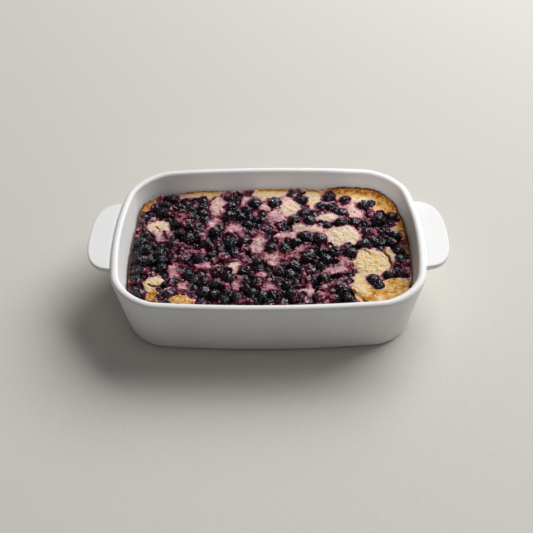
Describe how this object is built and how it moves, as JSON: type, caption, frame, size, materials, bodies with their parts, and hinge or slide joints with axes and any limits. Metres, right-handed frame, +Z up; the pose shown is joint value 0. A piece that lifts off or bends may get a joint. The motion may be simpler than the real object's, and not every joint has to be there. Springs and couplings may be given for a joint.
{
  "type": "blueberry cobbler in a baking dish",
  "caption": "Blueberry cobbler baked in a white ceramic dish with a flat tab handle at each end: browned crust at the edge, a close cover of baked berries and bare stained batter between them.",
  "frame": {"origin": "on the surface that the dish stands on, under the middle of the dish", "axes": "+X along the dish towards its right handle, +Y from its front side to its back side, +Z up"},
  "size_m": [0.312, 0.187, 0.06],
  "materials": {
    "ceramic": "white glaze, satin to gloss, smooth",
    "baked_batter": "baked cake batter, uneven and matt, golden brown at the edge, cream and pink on top and stained dark purple by juice between the berries",
    "berry_skin": "baked blueberry skin, near black with a blue and purple cast, wrinkled, satin to glossy"
  },
  "bodies": {
    "root": {"baking_dish": "ceramic", "cobbler_batter": "baked_batter", "berry_01": "berry_skin", "berry_02": "berry_skin", "berry_03": "berry_skin", "berry_04": "berry_skin", "berry_05": "berry_skin", "berry_06": "berry_skin", "berry_07": "berry_skin", "berry_08": "berry_skin", "berry_09": "berry_skin", "berry_10": "berry_skin", "berry_11": "berry_skin", "berry_12": "berry_skin", "berry_13": "berry_skin", "berry_14": "berry_skin", "berry_15": "berry_skin", "berry_16": "berry_skin", "berry_17": "berry_skin", "berry_18": "berry_skin", "berry_19": "berry_skin", "berry_20": "berry_skin", "berry_21": "berry_skin", "berry_22": "berry_skin", "berry_23": "berry_skin", "berry_24": "berry_skin", "berry_25": "berry_skin", "berry_26": "berry_skin", "berry_27": "berry_skin", "berry_28": "berry_skin", "berry_29": "berry_skin", "berry_30": "berry_skin", "berry_31": "berry_skin", "berry_32": "berry_skin", "berry_33": "berry_skin", "berry_34": "berry_skin", "berry_35": "berry_skin", "berry_36": "berry_skin", "berry_37": "berry_skin", "berry_38": "berry_skin", "berry_39": "berry_skin", "berry_40": "berry_skin", "berry_41": "berry_skin", "berry_42": "berry_skin", "berry_43": "berry_skin", "berry_44": "berry_skin", "berry_45": "berry_skin", "berry_46": "berry_skin", "berry_47": "berry_skin", "berry_48": "berry_skin", "berry_49": "berry_skin", "berry_50": "berry_skin", "berry_51": "berry_skin", "berry_52": "berry_skin", "berry_53": "berry_skin", "berry_54": "berry_skin", "berry_55": "berry_skin", "berry_56": "berry_skin", "berry_57": "berry_skin"}
  },
  "joints": []
}
